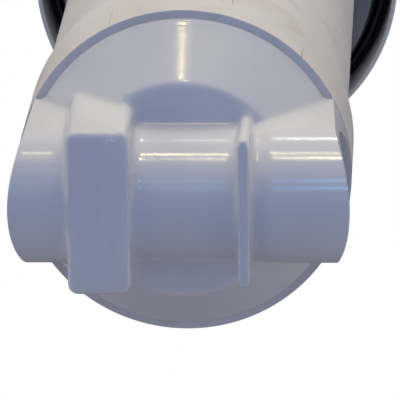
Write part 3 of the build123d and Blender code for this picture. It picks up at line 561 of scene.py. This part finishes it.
def lip_outline():
    rim_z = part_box("body_tube")[0].z
    slope = (CONE_END - CONE_START).normalized()
    out = Vector((slope.y, -slope.x))
    hub_r = LIP_R - LIP_ROUND
    hub_z = CONE_START.y + (out.x * (hub_r - CONE_START.x) + LIP_ROUND) / -out.y
    tilt = math.atan2(out.y, out.x)
    arc = [tilt * (1 - i / ARC_POINTS) for i in range(ARC_POINTS + 1)]
    start = CONE_START + slope * ((LIP_START_R - CONE_START.x) / slope.x) - out * LIP_DIP
    curve = [(hub_r + LIP_ROUND * math.cos(a), hub_z + LIP_ROUND * math.sin(a)) for a in arc]
    return [tuple(start), *curve, (LIP_R, rim_z), (LIP_START_R, rim_z)]


turned("cap_lip", lip_outline(), "header", hides=False)
print("cap lip", ARC_POINTS + 1, "points in its round")

# %% [markdown]
# An O-ring's section is a circle. Its height in the frame gives the radius, and its outside gives the place.

# %% The seals
ROUND_POINTS = 24


def ring_outline(node):
    low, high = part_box(node)
    radius = (high.z - low.z) / 2
    centre = (high.x - radius, (high.z + low.z) / 2)
    turns = [math.tau * i / ROUND_POINTS for i in range(ROUND_POINTS)]
    return [(centre[0] + radius * math.cos(a), centre[1] + radius * math.sin(a)) for a in turns]


for seal in ("rim_seal", "head_seal", "sleeve_seal"):
    turned(seal + "_turned", ring_outline(seal), seal)

# %% [markdown]
# Where a node has scallops, screw wells or holes, spinning can't make it. The frame's own shape is right,
# and what it lacks is the small round that every moulded edge has. A merged copy takes a bevel there, as
# narrow as the real round, which catches the light along each edge.

# %% Moulded pieces with softened edges
SOFT_NODES = {
    "locking_ring": 0.9,
    "ring_insert": 0.4,
    "head_cover": 0.4,
    "lamp_tray": 0.4,
    "head_base": 0.4,
    "sleeve_nut": 0.4,
    "gland_body": 0.25,
    "gland_nut": 0.25,
    "gland_locknut": 0.25,
    "ballast": 0.5,
    "terminal_block": 0.4,
    "socket_bracket": 0.3,
    "lamp_socket": 0.4,
    "lamp_base": 0.4,
    "sleeve_guide": 0.3,
    "sight_lens": 0.2,
}
FLAT_ENOUGH = math.radians(0.5)
for node, edge_mm in SOFT_NODES.items():
    bm = merged_copy(node)
    bmesh.ops.dissolve_limit(bm, angle_limit=FLAT_ENOUGH, verts=bm.verts, edges=bm.edges)
    soften_edges(dress(node + "_moulded", mesh_from(bm, node + "_moulded"), node), edge_mm, segments=2)
print("softened", len(SOFT_NODES), "pieces")

# %% [markdown]
# The unit stands on its feet on a plain pale floor. The camera looks up at it from below that floor, so
# the floor lets light and sight through from underneath, and is solid from above. The backdrop is a white
# world for the camera only. What lights the unit is dimmer: a cool grey from the foot end, and a warmer grey
# from everywhere else, with a soft edge between them that the glossy pipe shows as a faint line. A paler
# window on each side lights the edges that face sideways.

# %% The floor and the world
FLOOR_SIDE = 40.0        # so large that its edge isn't seen from any side


def studio_floor():
    bm = bmesh.new()
    bmesh.ops.create_grid(bm, x_segments=1, y_segments=1, size=FLOOR_SIDE / 2)
    floor = bpy.data.objects.new("studio_floor", mesh_from(bm, "studio_floor"))
    bpy.context.scene.collection.objects.link(floor)
    material, tree, where = start("pale_floor")
    below = add(tree, "ShaderNodeNewGeometry").outputs["Backfacing"]
    paint = add(tree, "ShaderNodeBsdfPrincipled", {"Base Color": linear("#e8e8e6"), "Roughness": 0.8,
                                                   "Emission Color": linear("#ffffff"),
                                                   "Emission Strength": 0.3})
    glass = add(tree, "ShaderNodeBsdfTransparent")
    both = add(tree, "ShaderNodeMixShader", {0: below, 1: paint.outputs[0], 2: glass.outputs[0]})
    add(tree, "ShaderNodeOutputMaterial", {"Surface": both.outputs[0]})
    floor.data.materials.append(material)
    floor.visible_shadow = False
    floor.visible_diffuse = False
    floor.visible_glossy = False
    floor.visible_transmission = False


FOOT_END_GREY = (0.175, 0.205, 0.28, 1)
SURROUND_GREY = (0.31, 0.295, 0.30, 1)
BEHIND_GREY = (0.13, 0.14, 0.18, 1)
SIDE_WHITE = (1.05, 1.0, 0.97, 1)
EDGE_OF_COOL = math.sin(math.radians(24))
EDGE_SOFT = 0.03
FOOT_END_FADE = 0.25
BEHIND_FROM = -0.2
BEHIND_FULL = 0.4
WINDOW_FROM = 0.80
WINDOW_FULL = 0.97


def studio_world():
    world = bpy.data.worlds.new("studio")
    bpy.context.scene.world = world
    world.use_nodes = True
    tree = world.node_tree
    tree.nodes.clear()
    toward = add(tree, "ShaderNodeTexCoord").outputs["Generated"]
    axis = add(tree, "ShaderNodeSeparateXYZ", {0: toward})
    foot_end = add(tree, "ShaderNodeMapRange", {0: axis.outputs[2], 1: FOOT_END_FADE, 2: -FOOT_END_FADE})
    near_side = add(tree, "ShaderNodeMapRange", {0: axis.outputs[1], 1: EDGE_OF_COOL + EDGE_SOFT,
                                                 2: EDGE_OF_COOL - EDGE_SOFT})
    cool_share = add(tree, "ShaderNodeMath", {0: foot_end.outputs[0], 1: near_side.outputs[0]},
                     operation="MULTIPLY")
    behind = add(tree, "ShaderNodeMapRange", {0: axis.outputs[2], 1: BEHIND_FROM, 2: BEHIND_FULL})
    greys = add(tree, "ShaderNodeMix", {0: behind.outputs[0], 6: SURROUND_GREY, 7: BEHIND_GREY},
                data_type="RGBA")
    cools = add(tree, "ShaderNodeMix", {0: cool_share.outputs[0], 6: greys.outputs[2], 7: FOOT_END_GREY},
                data_type="RGBA")
    sideways = add(tree, "ShaderNodeMath", {0: axis.outputs[0]}, operation="ABSOLUTE")
    windows = add(tree, "ShaderNodeMapRange", {0: sideways.outputs[0], 1: WINDOW_FROM, 2: WINDOW_FULL})
    soft = add(tree, "ShaderNodeMix", {0: windows.outputs[0], 6: cools.outputs[2], 7: SIDE_WHITE},
               data_type="RGBA")
    seen = add(tree, "ShaderNodeLightPath").outputs["Is Camera Ray"]
    shown = add(tree, "ShaderNodeMix", {0: seen, 6: soft.outputs[2], 7: (1, 1, 1, 1)}, data_type="RGBA")
    back = add(tree, "ShaderNodeBackground", {"Color": shown.outputs[2], "Strength": 1.0})
    add(tree, "ShaderNodeOutputWorld", {"Surface": back.outputs[0]})


studio_floor()
studio_world()
print("floor and world made")

# %% [markdown]
# One broad warm lamp above and behind does most of the work: it is wide, so it shades a cylinder softly
# and leaves no hard shadow. It is hidden from glossy rays, because a lamp that wide would lay a milky
# sheen over the pipe. The small lamps near it add almost no light, but they draw the thin bright
# lines along the cross pipe and up the cone. Two faint blue ones nearer the foot end draw the lines below
# them. All are suns, because a far light gives a cylinder a highlight along its whole length. The last lamp
# is a blue panel close under the foot end: being close, it tints the header and hardly reaches the collar.

# %% Lamps


def lamp(name, toward, colour, strength, spread):
    data = bpy.data.lights.new(name, "SUN")
    data.color = colour
    data.energy = strength
    data.angle = math.radians(spread)
    sun = bpy.data.objects.new(name, data)
    bpy.context.scene.collection.objects.link(sun)
    sun.matrix_world = Vector(toward).to_track_quat("Z", "Y").to_matrix().to_4x4()
    return sun


BLUE = (0.12, 0.50, 1.0)
broad = lamp("broad_warm", (0, -0.92, 0.39), (1.0, 0.90, 0.73), 2.05, 60)
broad.visible_glossy = False
lamp("line_high", (0, -0.899, 0.438), (1.0, 0.98, 0.95), 0.11, 1.5)
lamp("line_low", (0, -0.9664, -0.257), (1.0, 0.82, 0.48), 0.17, 2.5)
lamp("line_cone", (-0.048, -0.994, -0.103), (1.0, 0.84, 0.36), 0.10, 2)
lamp("blue_high", (0, -0.588, -0.809), BLUE, 0.04, 3)
lamp("blue_low", (0, -0.407, -0.914), BLUE, 0.04, 3)

PANEL_WIDE = 0.8
PANEL_LONG = 0.6
PANEL_BELOW = 0.28
PANEL_EDGE = 0.12
PANEL_WATTS = 0.32


def foot_end_panel():
    data = bpy.data.lights.new("foot_end_panel", "AREA")
    data.shape = "RECTANGLE"
    data.size = PANEL_WIDE
    data.size_y = PANEL_LONG
    data.color = (0.06, 0.26, 1.0)
    data.energy = PANEL_WATTS
    panel = bpy.data.objects.new("foot_end_panel", data)
    bpy.context.scene.collection.objects.link(panel)
    panel.location = (0, PANEL_EDGE - PANEL_LONG / 2, -PANEL_BELOW)
    panel.rotation_euler = (math.pi, 0, 0)
    panel.visible_camera = False


foot_end_panel()
print("lamps", len(bpy.data.lights))

# %% [markdown]
# The camera stands almost under the unit and looks up along the tube, a long lens a good way off.

# %% The camera


def look_along(name, place, forward, up):
    back = -Vector(forward).normalized()
    right = Vector(up).cross(back).normalized()
    true_up = back.cross(right)
    turn = Matrix((right, true_up, back)).transposed().to_4x4()
    data = bpy.data.cameras.new(name)
    camera = bpy.data.objects.new(name, data)
    bpy.context.scene.collection.objects.link(camera)
    camera.matrix_world = Matrix.Translation(place) @ turn
    return camera


CAMERA_PLACE = Vector((0.1239, -0.7184, -2.2542))
CAMERA_FORWARD = (-0.0477, 0.3003, 0.9527)
CAMERA_UP = (-0.001, -0.954, 0.3006)
LENS_MM = 435.2
SENSOR_MM = 36
FAR_CLIP = 20
camera = look_along("camera", CAMERA_PLACE, CAMERA_FORWARD, CAMERA_UP)
camera.data.lens = LENS_MM
camera.data.sensor_width = SENSOR_MM
camera.data.clip_end = FAR_CLIP
bpy.context.scene.camera = camera
bpy.context.scene.view_settings.view_transform = "Standard"
print("camera at", [round(c, 3) for c in camera.location])
